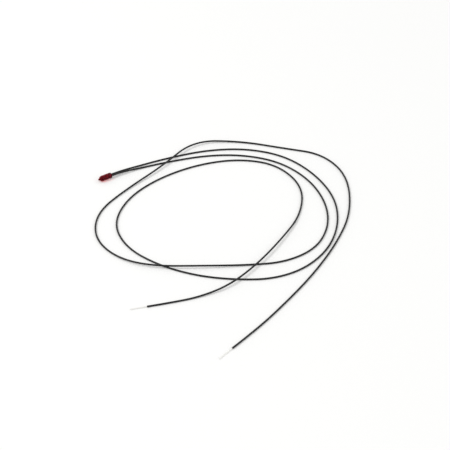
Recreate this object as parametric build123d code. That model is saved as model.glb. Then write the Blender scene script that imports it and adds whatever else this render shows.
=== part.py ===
from build123d import *
import os
from math import asin, cos, degrees, radians, tan

# A miniature wire-ended filament lamp that lies on a bench, with its two insulated leads
# in a loose coil. Millimetres, +Z up, the bench at z = 0. The lamp's axis runs along X with
# its tip at -X, and the origin is on the bench, midway between that tip and the ends of the
# lead-in wires.

# Glass envelope: a drawn tube, domed at the tip and pinched onto a bead at the base.
bulb_diameter = 3.0
bulb_length = 7.4
glass_wall = 0.3
dome_height = 1.8
nipple_length = 0.6
nipple_diameter = 1.1
nipple_fillet = 0.4
capillary_diameter = 0.2
capillary_depth = 0.4
shoulder_length = 0.8
shoulder_pinch = 0.2
seal_length = 1.0
throat_length = 0.5

# Stem bead: the glass bead that the lead-in wires pass through.
bead_length = 1.25
bead_round = 0.3

# Filament and the lead-in wires that carry it.
lead_in_diameter = 0.25
filament_wire = 0.05
coil_diameter = 0.28
coil_pitch = 0.1
coil_turns = 9
filament_setback = 2.3
post_spread = 1.4
splay_start = 0.8
splay_length = 1.1
splay_radius = 1.0
hook_return = 0.35
leg_overhang = 0.12

# Solder joints, where the lead-in wires meet the conductors under the insulation.
joint_diameter = 0.45
joint_length = 2.6
joint_setback = 0.4
splice_depth = 1.6
socket_clearance = 0.02

# Leads: insulated stranded wire. Each is stripped by hand at the far end, so the two bare
# lengths differ, and tinned there.
lead_diameter = 0.89
lead_gap = 0.11
conductor_diameter = 0.38
strip_length_a = 8.9
strip_length_b = 7.9
tip_chamfer = 0.06
crossing_gap = 0.15
exit_run = 5.5

# Sizes and places that follow from the ones above.
bulb_radius = bulb_diameter / 2
axis_height = bulb_radius
wire_tail = joint_setback + splice_depth
base_x = (bulb_length - wire_tail) / 2
neck_radius = bulb_radius - shoulder_pinch
bead_radius = neck_radius - glass_wall
cavity_radius = bulb_radius - glass_wall
dome_start = bulb_length - nipple_length - dome_height
lead_pitch = lead_diameter + lead_gap
lead_radius = lead_diameter / 2
hook_radius = (lead_in_diameter + filament_wire) / 2
hook_x = base_x - bead_length - filament_setback
leg_height = axis_height - hook_radius
coil_radius = (coil_diameter - filament_wire) / 2
coil_length = coil_pitch * coil_turns
joint_end = joint_setback + joint_length

# Heights of a lead's centre line: at the base of the glass, on the bench, and over another lead.
exit_height = axis_height
bench = lead_radius
over = 3 * lead_radius + crossing_gap

# Each lead's route in plan, with the height of its centre line. The first two points are at
# the glass. A hump over another lead has a point at its top on each side of the crossing.
route_a = [
    (base_x, -lead_pitch / 2, exit_height),
    (base_x + exit_run, -lead_pitch / 2, exit_height),
    (18, -1.5, bench),
    (34, -5, bench),
    (53, -11, bench),
    (69, -21, bench),
    (81, -36, bench),
    (85, -56, bench),
    (81, -76, bench),
    (71, -92, bench),
    (56, -102, bench),
    (38, -102, bench),
    (22, -94, bench),
    (5, -85, over),
    (-17, -71, over),
    (-27, -55, bench),
    (-28, -37, bench),
    (-17, -21, bench),
    (4, -13, bench),
    (28, -7.5, over),
    (53, 2.5, over),
    (74, -10, bench),
    (89.5, -27.5, bench),
    (103, -42, bench),
    (103, -64, bench),
    (86.5, -89, bench),
    (66, -104.5, bench),
    (43, -117, bench),
    (20, -126.5, bench),
    (2, -133, bench),
    (-14.5, -137.5, bench),
]
route_b = [
    (base_x, lead_pitch / 2, exit_height),
    (base_x + exit_run, lead_pitch / 2, exit_height),
    (18, 0.5, bench),
    (35, -2, bench),
    (55, -7, bench),
    (73, -17, bench),
    (86, -33, bench),
    (90, -54, bench),
    (87, -75, bench),
    (77, -92, bench),
    (62, -105, bench),
    (44, -111, bench),
    (27, -109, bench),
    (12, -100, bench),
    (-2, -87.5, bench),
    (-13, -71, bench),
    (-19, -52, bench),
    (-15, -33, bench),
    (1, -19.5, bench),
    (22, -14, bench),
    (45, -15, bench),
    (65, -22.5, bench),
    (78.5, -37, bench),
    (79, -59, bench),
    (65, -77, bench),
    (45, -88.5, over),
    (26, -97, over),
    (7, -102.5, over),
    (-8, -101, bench),
    (-20.5, -97.5, bench),
    (-32, -93.5, bench),
]

# Parts of the lamp are drawn from the base towards the tip, with the lamp's axis as the x axis.
lamp_plane = Plane(origin=(base_x, 0, axis_height), x_dir=(-1, 0, 0), z_dir=(0, 1, 0))
lamp_axis = Axis((base_x, 0, axis_height), (-1, 0, 0))


def turned(outline):
    """A solid turned about the lamp's axis from a closed outline."""
    return revolve(lamp_plane * make_face(outline), axis=lamp_axis)


def rod(start, end, radius):
    """A straight round rod between two points."""
    direction = Vector(end) - Vector(start)
    return extrude(Plane(origin=start, z_dir=direction) * Circle(radius), direction.length)


def glass_envelope():
    """The blown glass: shoulder, wall, dome and the nipple where it was sealed off."""
    nipple_radius = nipple_diameter / 2
    root_angle = asin(nipple_radius / bulb_radius)
    root_x = dome_start + dome_height * cos(root_angle)
    to_root = degrees(root_angle)
    outside = Curve() + [
        Line((0, 0), (0, neck_radius)),
        TangentArc((shoulder_length, bulb_radius), (0, neck_radius), tangent=(-1, 0)),
        Line((shoulder_length, bulb_radius), (dome_start, bulb_radius)),
        EllipticalCenterArc((dome_start, 0), dome_height, bulb_radius, to_root, arc_size=90 - to_root),
        EllipticalCenterArc((root_x, 0), bulb_length - root_x, nipple_radius),
        Line((bulb_length, 0), (0, 0)),
    ]
    section = make_face(outside)
    root = section.vertices().sort_by_distance((root_x, nipple_radius))[0]
    section = fillet(root, nipple_fillet)
    blank = revolve(lamp_plane * section, axis=lamp_axis)
    return blank - cavity()


def cavity():
    """The hollow of the envelope: bead seat, throat, bore, dome and the closed capillary."""
    capillary_radius = capillary_diameter / 2
    inner_dome = dome_height - glass_wall
    mouth_angle = asin(capillary_radius / cavity_radius)
    mouth_x = dome_start + inner_dome * cos(mouth_angle)
    to_mouth = degrees(mouth_angle)
    throat_end = seal_length + throat_length
    inside = Curve() + [
        Line((0, 0), (0, bead_radius)),
        Line((0, bead_radius), (seal_length, bead_radius)),
        TangentArc((throat_end, cavity_radius), (seal_length, bead_radius), tangent=(-1, 0)),
        Line((throat_end, cavity_radius), (dome_start, cavity_radius)),
        EllipticalCenterArc((dome_start, 0), inner_dome, cavity_radius, to_mouth, arc_size=90 - to_mouth),
        Line((mouth_x, capillary_radius), (mouth_x + capillary_depth, 0)),
        Line((mouth_x + capillary_depth, 0), (0, 0)),
    ]
    return turned(inside)


def stem_bead(wires):
    """The bead fused into the base of the envelope, around the lead-in wires."""
    outline = Curve() + [
        Line((0, 0), (0, bead_radius)),
        Line((0, bead_radius), (bead_length - bead_round, bead_radius)),
        TangentArc(
            (bead_length - bead_round, bead_radius),
            (bead_length, bead_radius - bead_round),
            tangent=(1, 0),
        ),
        Line((bead_length, bead_radius - bead_round), (bead_length, 0)),
        Line((bead_length, 0), (0, 0)),
    ]
    bead = turned(outline)
    for wire in wires:
        bead -= wire
    return bead


def lead_in_wire(side):
    """A stiff wire from the solder joint through the bead, bent to a hook round the filament."""
    at_bead = side * lead_pitch / 2
    at_hook = side * post_spread / 2
    splay_x = base_x - bead_length - splay_start
    tail = (base_x + wire_tail, at_bead, axis_height)
    hook_top = (hook_x, at_hook, axis_height)
    hook_nose = (hook_x - hook_radius, at_hook, leg_height)
    hook_low = (hook_x, at_hook, leg_height - hook_radius)
    post = FilletPolyline(
        tail,
        (splay_x, at_bead, axis_height),
        (splay_x - splay_length, at_hook, axis_height),
        hook_top,
        radius=splay_radius,
    )
    hook = ThreePointArc(hook_top, hook_nose, hook_low)
    end = Line(hook_low, (hook_x + hook_return, at_hook, leg_height - hook_radius))
    path = Wire([*post.edges(), *hook.edges(), *end.edges()])
    section = Plane(origin=tail, z_dir=(-1, 0, 0)) * Circle(lead_in_diameter / 2)
    return sweep(section, path=path)


def filament():
    """A coil of fine wire across the lamp, with straight legs that the hooks hold."""
    coil_plane = Plane(
        origin=(hook_x - coil_radius, -coil_length / 2, leg_height),
        x_dir=(1, 0, 0),
        z_dir=(0, 1, 0),
    )
    helix = coil_plane * Helix(coil_pitch, coil_length, coil_radius)
    section = Plane(origin=helix @ 0, z_dir=helix % 0) * RegularPolygon(filament_wire / 2, 4)
    coil = sweep(section, path=helix, is_frenet=True)
    for side in (-1, 1):
        inner = (hook_x, side * (coil_length - filament_wire) / 2, leg_height)
        outer = (hook_x, side * (post_spread + lead_in_diameter + 2 * leg_overhang) / 2, leg_height)
        coil += rod(inner, outer, filament_wire / 2)
    return coil


def solder_joint(side, wire):
    """The soldered splice round the end of a lead-in wire."""
    start = (base_x + joint_setback, side * lead_pitch / 2, axis_height)
    end = (base_x + joint_end, side * lead_pitch / 2, axis_height)
    return rod(start, end, joint_diameter / 2) - wire


def corner_radii(route):
    """The radius of the arc at each corner: as large as the two runs there allow."""
    points = [Vector(point) for point in route]
    radii = []
    for before, corner, after in zip(points, points[1:], points[2:]):
        arriving = corner - before
        leaving = after - corner
        shorter = min(arriving.length, leaving.length)
        half_turn = radians(arriving.get_angle(leaving)) / 2
        radii.append(0.45 * shorter / tan(half_turn))
    return radii


def lead(name, route, side):
    """An insulated lead along its route, with a socket for the solder joint at its start."""
    radii = corner_radii(route)
    path = FilletPolyline(*route, radius=radii)
    section = Plane(origin=route[0], z_dir=(1, 0, 0)) * Circle(lead_radius)
    tube = sweep(section, path=path.wire())
    print(name, "bend radii", [round(radius, 1) for radius in radii])
    print(name, "length", round(path.length, 1))
    print(name, "volume over section times length", tube.volume / (section.area * path.length))
    socket_end = (base_x + joint_end, side * lead_pitch / 2, axis_height)
    return tube - rod(route[0], socket_end, joint_diameter / 2 + socket_clearance)


def tinned_end(route, strip_length):
    """The stripped strands at a lead's far end, bound with solder into one round pin."""
    start = Vector(route[-1])
    direction = (start - Vector(route[-2])).normalized()
    pin = rod(start, start + direction * strip_length, conductor_diameter / 2)
    rims = pin.edges().filter_by(GeomType.CIRCLE)
    tip = rims.sort_by_distance(start + direction * strip_length)[0]
    return chamfer(tip, tip_chamfer)


wire_a = lead_in_wire(-1)
wire_b = lead_in_wire(1)
nodes = {
    "glass_envelope": glass_envelope(),
    "stem_bead": stem_bead([wire_a, wire_b]),
    "lead_in_wire_a": wire_a,
    "lead_in_wire_b": wire_b,
    "filament": filament(),
    "solder_joint_a": solder_joint(-1, wire_a),
    "solder_joint_b": solder_joint(1, wire_b),
    "lead_a": lead("lead_a", route_a, -1),
    "lead_b": lead("lead_b", route_b, 1),
    "tinned_end_a": tinned_end(route_a, strip_length_a),
    "tinned_end_b": tinned_end(route_b, strip_length_b),
}

os.makedirs("parts", exist_ok=True)
for name, shape in nodes.items():
    export_step(shape, f"parts/{name}.step")
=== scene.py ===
import math

import bpy
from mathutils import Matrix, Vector, noise


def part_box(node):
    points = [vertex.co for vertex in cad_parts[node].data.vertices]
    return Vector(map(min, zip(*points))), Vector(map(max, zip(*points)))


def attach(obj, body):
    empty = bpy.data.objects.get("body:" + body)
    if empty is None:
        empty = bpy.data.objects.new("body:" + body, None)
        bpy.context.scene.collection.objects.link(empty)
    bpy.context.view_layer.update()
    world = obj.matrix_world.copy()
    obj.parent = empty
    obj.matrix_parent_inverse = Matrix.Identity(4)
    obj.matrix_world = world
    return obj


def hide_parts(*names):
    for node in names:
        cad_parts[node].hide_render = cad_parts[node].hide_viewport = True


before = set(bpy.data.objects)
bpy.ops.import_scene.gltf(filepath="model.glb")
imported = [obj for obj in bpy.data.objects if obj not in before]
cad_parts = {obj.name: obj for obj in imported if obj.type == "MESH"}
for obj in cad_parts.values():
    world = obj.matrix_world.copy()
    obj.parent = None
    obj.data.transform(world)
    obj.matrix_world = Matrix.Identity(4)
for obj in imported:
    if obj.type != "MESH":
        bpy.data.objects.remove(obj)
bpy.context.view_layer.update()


# Camera: a long lens above the bench, in front of the coil and to the lamp's side. It looks
# down at the middle of the coil.
camera_azimuth = math.radians(-33)
camera_elevation = math.radians(39)
camera_distance = 0.75
camera_lens = 124
camera_near_limit = 0.01
camera_target = Vector((0.030, -0.063, 0))

camera_data = bpy.data.cameras.new("bench_camera")
camera_data.lens = camera_lens
camera_data.clip_start = camera_near_limit
camera = bpy.data.objects.new("bench_camera", camera_data)
bpy.context.scene.collection.objects.link(camera)
toward_camera = Vector((
    math.sin(camera_azimuth) * math.cos(camera_elevation),
    -math.cos(camera_azimuth) * math.cos(camera_elevation),
    math.sin(camera_elevation),
))
camera.location = camera_target + camera_distance * toward_camera
camera.rotation_mode = "QUATERNION"
camera.rotation_quaternion = (-toward_camera).to_track_quat("-Z", "Y")
bpy.context.scene.camera = camera


# Leads: seven copper strands in a black PVC sleeve, which is extruded over them and cut square
# at both ends. They leave the base of the glass side by side and lie in a loose coil, where
# they pass over each other in long low humps.
lead_diameter = 0.00089
lead_exit_height = 0.0015
crossing_gap = 0.00015
on_bench = lead_diameter / 2
over_lead = on_bench + lead_diameter + crossing_gap
lead_a_route = [
    (0.0027, -0.0005, lead_exit_height),
    (0.0082, -0.0005, lead_exit_height),
    (0.018, -0.0015, on_bench),
    (0.034, -0.005, on_bench),
    (0.053, -0.011, on_bench),
    (0.069, -0.021, on_bench),
    (0.081, -0.036, on_bench),
    (0.085, -0.056, on_bench),
    (0.081, -0.076, on_bench),
    (0.071, -0.092, on_bench),
    (0.056, -0.102, on_bench),
    (0.038, -0.102, on_bench),
    (0.022, -0.094, on_bench),
    (0.005, -0.085, over_lead),
    (-0.017, -0.071, over_lead),
    (-0.027, -0.055, on_bench),
    (-0.028, -0.037, on_bench),
    (-0.017, -0.021, on_bench),
    (0.004, -0.013, on_bench),
    (0.028, -0.0075, over_lead),
    (0.053, 0.0025, over_lead),
    (0.074, -0.010, on_bench),
    (0.0895, -0.0275, on_bench),
    (0.103, -0.042, on_bench),
    (0.103, -0.064, on_bench),
    (0.0865, -0.089, on_bench),
    (0.066, -0.1045, on_bench),
    (0.043, -0.117, on_bench),
    (0.020, -0.1265, on_bench),
    (0.002, -0.133, on_bench),
    (-0.0145, -0.1375, on_bench),
]
lead_b_route = [
    (0.0027, 0.0005, lead_exit_height),
    (0.0082, 0.0005, lead_exit_height),
    (0.018, 0.0005, on_bench),
    (0.035, -0.002, on_bench),
    (0.055, -0.007, on_bench),
    (0.073, -0.017, on_bench),
    (0.086, -0.033, on_bench),
    (0.090, -0.054, on_bench),
    (0.087, -0.075, on_bench),
    (0.077, -0.092, on_bench),
    (0.062, -0.105, on_bench),
    (0.044, -0.111, on_bench),
    (0.027, -0.109, on_bench),
    (0.012, -0.100, on_bench),
    (-0.002, -0.0875, on_bench),
    (-0.013, -0.071, on_bench),
    (-0.019, -0.052, on_bench),
    (-0.015, -0.033, on_bench),
    (0.001, -0.0195, on_bench),
    (0.022, -0.014, on_bench),
    (0.045, -0.015, on_bench),
    (0.065, -0.0225, on_bench),
    (0.0785, -0.037, on_bench),
    (0.079, -0.059, on_bench),
    (0.065, -0.077, on_bench),
    (0.045, -0.0885, over_lead),
    (0.026, -0.097, over_lead),
    (0.007, -0.1025, over_lead),
    (-0.008, -0.101, on_bench),
    (-0.0205, -0.0975, on_bench),
    (-0.032, -0.0935, on_bench),
]
sleeve_black = (0.0050, 0.0050, 0.0052, 1)
sleeve_dust = (0.0140, 0.0137, 0.0134, 1)
sleeve_gloss = 0.24
sleeve_steps = 16
round_section_steps = 8
grain_detail = 3
patch_detail = 5
noise_roughness = 0.55
noise_range = (0.3, 0.7)
tint_range = (0.35, 0.75)


def surface_grain_group():
    """A node group for fine grain and wide soft patches, both as values from 0 to 1."""
    group = bpy.data.node_groups.new("surface_grain", "ShaderNodeTree")
    for socket_name in ("Grain Scale", "Patch Scale"):
        group.interface.new_socket(socket_name, in_out="INPUT", socket_type="NodeSocketFloat")
    for socket_name in ("Grain", "Patches"):
        group.interface.new_socket(socket_name, in_out="OUTPUT", socket_type="NodeSocketFloat")
    given = group.nodes.new("NodeGroupInput")
    result = group.nodes.new("NodeGroupOutput")
    place = group.nodes.new("ShaderNodeTexCoord")
    for scale_name, result_name, detail in (
        ("Grain Scale", "Grain", grain_detail),
        ("Patch Scale", "Patches", patch_detail),
    ):
        texture = group.nodes.new("ShaderNodeTexNoise")
        texture.inputs["Detail"].default_value = detail
        texture.inputs["Roughness"].default_value = noise_roughness
        group.links.new(place.outputs["Object"], texture.inputs["Vector"])
        group.links.new(given.outputs[scale_name], texture.inputs["Scale"])
        group.links.new(texture.outputs["Fac"], result.inputs[result_name])
    return group


surface_grain = surface_grain_group()


def new_material(name):
    """An empty node material and its tree's Principled shader."""
    material = bpy.data.materials.new(name)
    material.use_nodes = True
    return material, material.node_tree.nodes["Principled BSDF"]


def place_grain(material, grain_scale, patch_scale):
    """The grain group in a material, with that material's own scales."""
    grain = material.node_tree.nodes.new("ShaderNodeGroup")
    grain.node_tree = surface_grain
    grain.inputs["Grain Scale"].default_value = grain_scale
    grain.inputs["Patch Scale"].default_value = patch_scale
    return grain


def spread(material, value, limits, target):
    """Maps the noise's usual range to the given limits and links it to a socket."""
    stretch = material.node_tree.nodes.new("ShaderNodeMapRange")
    stretch.inputs["From Min"].default_value, stretch.inputs["From Max"].default_value = noise_range
    stretch.inputs["To Min"].default_value, stretch.inputs["To Max"].default_value = limits
    material.node_tree.links.new(value, stretch.inputs["Value"])
    material.node_tree.links.new(stretch.outputs["Result"], target)


def tint(material, value, colours, shader):
    """Mixes two colours by a value, over the tint range, into the shader's Base Color."""
    ramp = material.node_tree.nodes.new("ShaderNodeValToRGB")
    for stop, position, colour in zip(ramp.color_ramp.elements, tint_range, colours):
        stop.position = position
        stop.color = colour
    material.node_tree.links.new(value, ramp.inputs["Fac"])
    material.node_tree.links.new(ramp.outputs["Color"], shader.inputs["Base Color"])


def roughen(material, value, depth, shader):
    """A bump of the given depth from a value, into the shader's Normal."""
    bump = material.node_tree.nodes.new("ShaderNodeBump")
    bump.inputs["Distance"].default_value = depth
    material.node_tree.links.new(value, bump.inputs["Height"])
    material.node_tree.links.new(bump.outputs["Normal"], shader.inputs["Normal"])


def grained_finish(name, grain_scale, patch_scale, roughness, colours=None, grain_depth=None):
    """A material with patches of roughness, and of two colours and a fine grain if given."""
    material, shader = new_material(name)
    grain = place_grain(material, grain_scale, patch_scale)
    spread(material, grain.outputs["Patches"], roughness, shader.inputs["Roughness"])
    if colours:
        tint(material, grain.outputs["Patches"], colours, shader)
    if grain_depth:
        roughen(material, grain.outputs["Grain"], grain_depth, shader)
    return material, shader


black_pvc, shader = grained_finish(
    "black_pvc_sleeve", grain_scale=9000, patch_scale=260, roughness=(0.19, 0.33),
    colours=(sleeve_black, sleeve_dust), grain_depth=0.000006,
)
shader.inputs["Specular IOR Level"].default_value = sleeve_gloss


def round_wire(name, route, diameter, material, steps):
    """A smooth round wire along a route, with this many steps from point to point."""
    curve = bpy.data.curves.new(name, "CURVE")
    curve.dimensions = "3D"
    curve.resolution_u = steps
    curve.bevel_depth = diameter / 2
    curve.bevel_resolution = round_section_steps
    curve.use_fill_caps = True
    spline = curve.splines.new("NURBS")
    spline.points.add(len(route) - 1)
    for point, place in zip(spline.points, route):
        point.co = (*place, 1)
    spline.order_u = 3
    spline.use_endpoint_u = True
    curve.materials.append(material)
    wire = bpy.data.objects.new(name, curve)
    bpy.context.scene.collection.objects.link(wire)
    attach(wire, "root")
    return wire


sleeve_a = round_wire("lead_sleeve_a", lead_a_route, lead_diameter, black_pvc, sleeve_steps)
sleeve_b = round_wire("lead_sleeve_b", lead_b_route, lead_diameter, black_pvc, sleeve_steps)
for sleeve, node in ((sleeve_a, "lead_a"), (sleeve_b, "lead_b")):
    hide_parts(node)


# Tinned ends: the seven strands of each lead where the sleeve is stripped off, twisted by hand
# and dipped in solder, which fills the valleys between them and rounds the tip. The stripping is
# by hand too, so one end is longer than the other.
strip_length_a = 0.0089
strip_length_b = 0.0079
bundle_radius = 0.00019
strands_across = 3
strand_radius = bundle_radius / strands_across
valley_radius = 0.000158
outer_strands = 6
strand_pitch = 0.0054
tip_rounding = 0.00015
solder_unevenness = 0.03
solder_wave_scale = 1500
solder_wave_row = 3.1
ring_corners = 48
ring_spacing = 0.00006
tin_bright = (0.88, 0.87, 0.84, 1)
tin_dull = (0.66, 0.65, 0.62, 1)


def skin(name, rings, material):
    """A closed mesh over a row of rings. A ring of one point closes an end."""
    vertices = []
    faces = []
    starts = []
    for ring in rings:
        starts.append(len(vertices))
        vertices.extend(ring)
    for ring, start, following, next_start in zip(rings, starts, rings[1:], starts[1:]):
        corners = max(len(ring), len(following))
        for corner in range(corners):
            after = (corner + 1) % corners
            if len(ring) == 1:
                faces.append((start, next_start + after, next_start + corner))
            elif len(following) == 1:
                faces.append((start + corner, start + after, next_start))
            else:
                faces.append((start + corner, start + after, next_start + after, next_start + corner))
    mesh = bpy.data.meshes.new(name)
    mesh.from_pydata(vertices, [], faces)
    mesh.polygons.foreach_set("use_smooth", [True] * len(mesh.polygons))
    mesh.materials.append(material)
    mesh.update()
    piece = bpy.data.objects.new(name, mesh)
    bpy.context.scene.collection.objects.link(piece)
    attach(piece, "root")
    return piece


def noise_share(place):
    """Smooth noise at a place, as a value from about 0 to 1."""
    return 0.5 + 0.5 * noise.noise(Vector(place))


def bundle_outline(angle):
    """The radius of the twisted bundle at an angle from an outer strand's middle."""
    half_sector = math.pi / outer_strands
    offset = (angle + half_sector) % (2 * half_sector) - half_sector
    centre_distance = 2 * strand_radius
    chord = strand_radius**2 - (centre_distance * math.sin(offset)) ** 2
    strand = centre_distance * math.cos(offset) + math.sqrt(max(chord, 0))
    return max(strand, valley_radius)


def twisted_end(name, start, before, length, material):
    """The bare strands beyond the last point of a lead's route."""
    start = Vector(start)
    ahead = (start - Vector(before)).normalized()
    across = Vector((-ahead.y, ahead.x, 0))
    upward = Vector((0, 0, 1))
    steps = round(length / ring_spacing)
    rings = [[start]]
    for step in range(steps):
        along = length * step / steps
        left = length - along
        taper = math.sqrt(max(0, 1 - (1 - min(1, left / tip_rounding)) ** 2))
        turn = 2 * math.pi * along / strand_pitch
        wave = noise_share((along * solder_wave_scale, solder_wave_row, 0))
        thinned = (1 - solder_unevenness * wave) * taper
        ring = []
        for corner in range(ring_corners):
            angle = 2 * math.pi * corner / ring_corners
            outward = math.cos(angle) * across + math.sin(angle) * upward
            ring.append(start + ahead * along + bundle_outline(angle - turn) * thinned * outward)
        rings.append(ring)
    rings.append([start + ahead * length])
    return skin(name, rings, material)


tinned_copper, shader = grained_finish(
    "tinned_copper_strands", grain_scale=12000, patch_scale=2200, roughness=(0.20, 0.38),
    colours=(tin_bright, tin_dull), grain_depth=0.000004,
)
shader.inputs["Metallic"].default_value = 1

strands_a = twisted_end(
    "tinned_strands_a", lead_a_route[-1], lead_a_route[-2], strip_length_a, tinned_copper
)
strands_b = twisted_end(
    "tinned_strands_b", lead_b_route[-1], lead_b_route[-2], strip_length_b, tinned_copper
)
for strands, node in ((strands_a, "tinned_end_a"), (strands_b, "tinned_end_b")):
    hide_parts(node)


# Glass envelope: a drawn tube of red glass, closed to a dome at one end with the nipple where it
# was pumped out and sealed off, and pinched onto the stem bead at the other.
envelope_low, envelope_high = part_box("glass_envelope")
glass_base = envelope_high.x
glass_length = envelope_high.x - envelope_low.x
glass_radius = (envelope_high.z - envelope_low.z) / 2
glass_axis = (envelope_high.z + envelope_low.z) / 2
glass_wall = 0.0003
dome_height = 0.0018
nipple_length = 0.0006
nipple_radius = 0.00055
nipple_blend = 0.00030
nipple_offset = Vector((0, 0.00003, -0.00002))
shoulder_length = 0.0008
shoulder_pinch = 0.0002
rim_rounding = 0.00006
seal_length = 0.001
throat_length = 0.0005
seal_melt = 0.00001
capillary_radius = 0.0001
capillary_depth = 0.0004
glass_corners = 96
flame_ripple = 0.006
ripples_along = 900
ripples_around = 1.3
rim_rings = 6
shoulder_rings = 14
wall_rings = 20
dome_rings = 24
root_rings = 18
nipple_rings = 18
seat_rings = 4
throat_rings = 10
bore_rings = 12
inner_dome_rings = 30
capillary_rings = 6
glass_index = 1.5
glass_red = (0.27, 0.004, 0.011, 1)
glass_sheen = (0.86, 0.13, 0.19, 1)
glow_red = (0.93, 0.58, 0.60, 1)

dome_start = glass_length - nipple_length - dome_height
nipple_root = dome_start + dome_height * math.cos(math.asin(nipple_radius / glass_radius))
bore_radius = glass_radius - glass_wall
neck_radius = glass_radius - shoulder_pinch
seat_radius = neck_radius - glass_wall - seal_melt


def pinch(along, length, radius, narrowed):
    """The radius along an arc that starts narrowed and runs out into a straight wall."""
    drop = radius - narrowed
    arc = (length**2 + drop**2) / (2 * drop)
    return radius - arc + math.sqrt(arc**2 - (length - min(along, length)) ** 2)


def outer_radius(along):
    """The outside of the glass at a distance from its base."""
    if along < dome_start:
        wall = pinch(along, shoulder_length, glass_radius, neck_radius)
        return wall - rim_rounding * (1 - math.sqrt(1 - (1 - min(1, along / rim_rounding)) ** 2))
    dome = glass_radius * math.sqrt(max(0, 1 - ((along - dome_start) / dome_height) ** 2))
    past_root = max(0, along - nipple_root) / (glass_length - nipple_root)
    nipple = nipple_radius * math.sqrt(max(0, 1 - past_root**2))
    closeness = max(0, 1 - abs(dome - nipple) / nipple_blend)
    return max(dome, nipple) + closeness**2 * nipple_blend / 4


def inner_radius(along):
    """The inside of the glass at a distance from its base: seat, throat, bore and dome."""
    if along < seal_length:
        return seat_radius
    if along < dome_start:
        return pinch(along - seal_length, throat_length, bore_radius, seat_radius)
    inner_dome = dome_height - glass_wall
    dome = bore_radius * math.sqrt(max(0, 1 - ((along - dome_start) / inner_dome) ** 2))
    left = max(0, dome_start + inner_dome + capillary_depth - along)
    return max(dome, capillary_radius * min(1, left / capillary_depth) ** 0.5)


def glass_ring(along, radius, ripple):
    """A ring of the glass. Ripple is the share of its radius that the flame has drawn in."""
    ring = []
    past_root = max(0, along - nipple_root) / (glass_length - nipple_root)
    centre = Vector((glass_base - along, 0, glass_axis)) + nipple_offset * past_root
    for corner in range(glass_corners):
        angle = -2 * math.pi * corner / glass_corners
        sideways, upright = math.cos(angle), math.sin(angle)
        outward = Vector((0, sideways, upright))
        spot = (ripples_along * along, ripples_around * sideways, ripples_around * upright)
        uneven = radius * (1 - ripple * noise_share(spot))
        ring.append(centre + outward * uneven)
    return ring


def stations(start, end, count):
    """Evenly spaced places from a start up to an end, without the end itself."""
    return [start + (end - start) * step / count for step in range(count)]


def eased(start, end, count):
    """Places from a start up to an end, closer together towards the end, without the end."""
    return [start + (end - start) * math.sin(math.pi / 2 * step / count) for step in range(count)]


root_start = nipple_root - nipple_blend
root_end = nipple_root + nipple_blend / 2
outer_stations = (
    [rim_rounding - place for place in reversed(eased(0, rim_rounding, rim_rings))]
    + stations(rim_rounding, shoulder_length, shoulder_rings)[1:]
    + stations(shoulder_length, dome_start, wall_rings)
    + stations(dome_start, root_start, dome_rings)
    + stations(root_start, root_end, root_rings)
    + eased(root_end, glass_length, nipple_rings)
)
throat_end = seal_length + throat_length
inner_tip = dome_start + dome_height - glass_wall
capillary_end = inner_tip + capillary_depth
inner_stations = (
    stations(0, seal_length, seat_rings)
    + stations(seal_length, throat_end, throat_rings)
    + stations(throat_end, dome_start, bore_rings)
    + eased(dome_start, inner_tip, inner_dome_rings)
    + stations(inner_tip, capillary_end, capillary_rings)
)

red_glass, shader = grained_finish(
    "red_lamp_glass", grain_scale=2600, patch_scale=700, roughness=(0.02, 0.09),
    grain_depth=0.000003,
)
shader.inputs["Base Color"].default_value = glass_red
shader.inputs["Transmission Weight"].default_value = 1
shader.inputs["IOR"].default_value = glass_index
shader.inputs["Specular Tint"].default_value = glass_sheen
light_path = red_glass.node_tree.nodes.new("ShaderNodeLightPath")
tinted_light = red_glass.node_tree.nodes.new("ShaderNodeBsdfTransparent")
tinted_light.inputs["Color"].default_value = glow_red
by_ray = red_glass.node_tree.nodes.new("ShaderNodeMixShader")
glass_output = red_glass.node_tree.nodes["Material Output"]
red_glass.node_tree.links.new(light_path.outputs["Is Shadow Ray"], by_ray.inputs["Fac"])
red_glass.node_tree.links.new(shader.outputs["BSDF"], by_ray.inputs[1])
red_glass.node_tree.links.new(tinted_light.outputs["BSDF"], by_ray.inputs[2])
red_glass.node_tree.links.new(by_ray.outputs["Shader"], glass_output.inputs["Surface"])

glass_rings = [[Vector((glass_base - capillary_end, 0, glass_axis))]]
glass_rings += [glass_ring(along, inner_radius(along), 0) for along in reversed(inner_stations)]
glass_rings += [glass_ring(along, outer_radius(along), flame_ripple) for along in outer_stations]
glass_rings.append([Vector((glass_base - glass_length, 0, glass_axis)) + nipple_offset])
envelope = skin("blown_envelope", glass_rings, red_glass)
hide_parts("glass_envelope")


# Stem bead: a bead of clear glass fused round the two lead-in wires, and then into the base of
# the envelope. The flame leaves it a little cloudy.
bead_clear = (0.80, 0.76, 0.72, 1)
bead_cloudy = (0.62, 0.56, 0.52, 1)
bead_clearness = 0.92

bead_glass, shader = grained_finish(
    "fused_bead_glass", grain_scale=6000, patch_scale=1500, roughness=(0.04, 0.22),
    colours=(bead_clear, bead_cloudy), grain_depth=0.000004,
)
shader.inputs["Transmission Weight"].default_value = bead_clearness
shader.inputs["IOR"].default_value = glass_index


def finish_node(node, material):
    """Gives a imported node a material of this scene."""
    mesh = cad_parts[node].data
    mesh.materials.clear()
    mesh.materials.append(material)


finish_node("stem_bead", bead_glass)


# Lead-in wires: stiff copper-plated nickel-iron wire, which seals to glass. Each is bent to a
# hook at its tip, and the hook is closed on one leg of the filament.
plating_copper = (0.62, 0.33, 0.20, 1)
plating_oxide = (0.26, 0.12, 0.085, 1)

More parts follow.
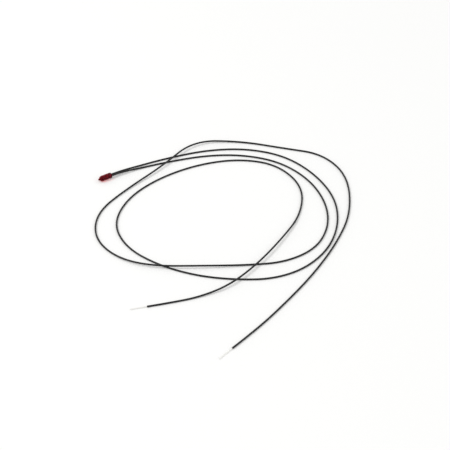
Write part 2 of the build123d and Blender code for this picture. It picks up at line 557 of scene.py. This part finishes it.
copper_plating, shader = grained_finish(
    "copper_plated_wire", grain_scale=14000, patch_scale=2400, roughness=(0.25, 0.50),
    colours=(plating_copper, plating_oxide), grain_depth=0.000003,
)
shader.inputs["Metallic"].default_value = 1
for node in ("lead_in_wire_a", "lead_in_wire_b"):
    finish_node(node, copper_plating)


# Solder joints: bright solder run round the end of each lead-in wire and the strands of its lead,
# inside the first stretch of the sleeve.
solder_bright = (0.70, 0.70, 0.70, 1)
solder_dull = (0.50, 0.50, 0.51, 1)

solder, shader = grained_finish(
    "run_solder", grain_scale=9000, patch_scale=1800, roughness=(0.25, 0.45),
    colours=(solder_bright, solder_dull), grain_depth=0.000006,
)
shader.inputs["Metallic"].default_value = 1
for node in ("solder_joint_a", "solder_joint_b"):
    finish_node(node, solder)


# Filament: drawn tungsten wire wound to a coil across the lamp, with two straight legs that lie
# in the hooks of the lead-in wires.
filament_low, filament_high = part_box("filament")
filament_wire = 0.00005
coil_turns = 9
coil_pitch = 0.0001
points_per_turn = 16
filament_steps = 3
tungsten_grey = (0.36, 0.35, 0.35, 1)
tungsten_dark = (0.20, 0.20, 0.21, 1)

coil_radius = (filament_high.z - filament_low.z - filament_wire) / 2
coil_height = (filament_high.z + filament_low.z) / 2
leg_x = filament_high.x - filament_wire / 2
coil_x = leg_x - coil_radius
coil_half = coil_pitch * coil_turns / 2
leg_clearance = filament_wire

filament_route = [
    (leg_x, filament_low.y, coil_height),
    (leg_x, -coil_half - leg_clearance, coil_height),
]
for step in range(coil_turns * points_per_turn + 1):
    angle = 2 * math.pi * step / points_per_turn
    filament_route.append((
        coil_x + coil_radius * math.cos(angle),
        -coil_half + coil_pitch * step / points_per_turn,
        coil_height + coil_radius * math.sin(angle),
    ))
filament_route += [
    (leg_x, coil_half + leg_clearance, coil_height),
    (leg_x, filament_high.y, coil_height),
]

tungsten, shader = grained_finish(
    "drawn_tungsten", grain_scale=30000, patch_scale=5000, roughness=(0.30, 0.50),
    colours=(tungsten_grey, tungsten_dark),
)
shader.inputs["Metallic"].default_value = 1
filament = round_wire("coiled_filament", filament_route, filament_wire, tungsten, filament_steps)
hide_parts("filament")


# Bench: a wide sheet of white paper, lit by the sky of the studio and two soft boxes. It stays
# white to the eye out to the horizon and keeps the lamp's shadow.
paper_size = 6
paper_white = (0.88, 0.88, 0.87, 1)
paper_roughness = 0.9
paper_gloss = 0.1
paper_lift = 0.14
white = (1, 1, 1, 1)
sky_strength = 0.7
seen_sky_strength = 1

paper_mesh = bpy.data.meshes.new("white_paper")
half_paper = paper_size / 2
paper_mesh.from_pydata(
    [
        (-half_paper, -half_paper, 0),
        (half_paper, -half_paper, 0),
        (half_paper, half_paper, 0),
        (-half_paper, half_paper, 0),
    ],
    [],
    [(0, 1, 2, 3)],
)


def seen_rays(owner):
    """1 on rays from the camera, also by way of a shiny surface or through glass."""
    nodes = owner.node_tree.nodes
    light_path = nodes.new("ShaderNodeLightPath")
    total = light_path.outputs["Is Camera Ray"]
    for ray in ("Is Glossy Ray", "Is Transmission Ray"):
        either = nodes.new("ShaderNodeMath")
        either.operation = "MAXIMUM"
        owner.node_tree.links.new(total, either.inputs[0])
        owner.node_tree.links.new(light_path.outputs[ray], either.inputs[1])
        total = either.outputs["Value"]
    return total


paper_material, shader = new_material("matt_white_paper")
shader.inputs["Base Color"].default_value = paper_white
shader.inputs["Roughness"].default_value = paper_roughness
shader.inputs["Specular IOR Level"].default_value = paper_gloss
lift = paper_material.node_tree.nodes.new("ShaderNodeMath")
lift.operation = "MULTIPLY"
lift.inputs[1].default_value = paper_lift
paper_material.node_tree.links.new(seen_rays(paper_material), lift.inputs[0])
paper_material.node_tree.links.new(lift.outputs["Value"], shader.inputs["Emission Strength"])
shader.inputs["Emission Color"].default_value = white
paper_mesh.materials.append(paper_material)
paper = bpy.data.objects.new("white_paper", paper_mesh)
bpy.context.scene.collection.objects.link(paper)

studio = bpy.data.worlds.new("studio_sky")
studio.use_nodes = True
bpy.context.scene.world = studio
sky = studio.node_tree.nodes["Background"]
sky.inputs["Color"].default_value = white
sky.inputs["Strength"].default_value = sky_strength
seen_sky = studio.node_tree.nodes.new("ShaderNodeBackground")
seen_sky.inputs["Color"].default_value = white
seen_sky.inputs["Strength"].default_value = seen_sky_strength
sky_by_ray = studio.node_tree.nodes.new("ShaderNodeMixShader")
sky_output = studio.node_tree.nodes["World Output"]
studio.node_tree.links.new(seen_rays(studio), sky_by_ray.inputs["Fac"])
studio.node_tree.links.new(sky.outputs["Background"], sky_by_ray.inputs[1])
studio.node_tree.links.new(seen_sky.outputs["Background"], sky_by_ray.inputs[2])
studio.node_tree.links.new(sky_by_ray.outputs["Shader"], sky_output.inputs["Surface"])


def soft_box(name, place, size, power):
    """A square soft light that faces the middle of the coil."""
    light = bpy.data.lights.new(name, "AREA")
    light.shape = "SQUARE"
    light.size = size
    light.energy = power
    box = bpy.data.objects.new(name, light)
    bpy.context.scene.collection.objects.link(box)
    box.location = place
    box.rotation_mode = "QUATERNION"
    box.rotation_quaternion = (camera_target - Vector(place)).to_track_quat("-Z", "Y")


soft_box("back_soft_box", place=(-0.9, 0.5, 1.2), size=0.5, power=8)
soft_box("front_soft_box", place=(0.9, -1.0, 1.0), size=1.2, power=3)

bpy.context.scene.view_settings.view_transform = "Standard"
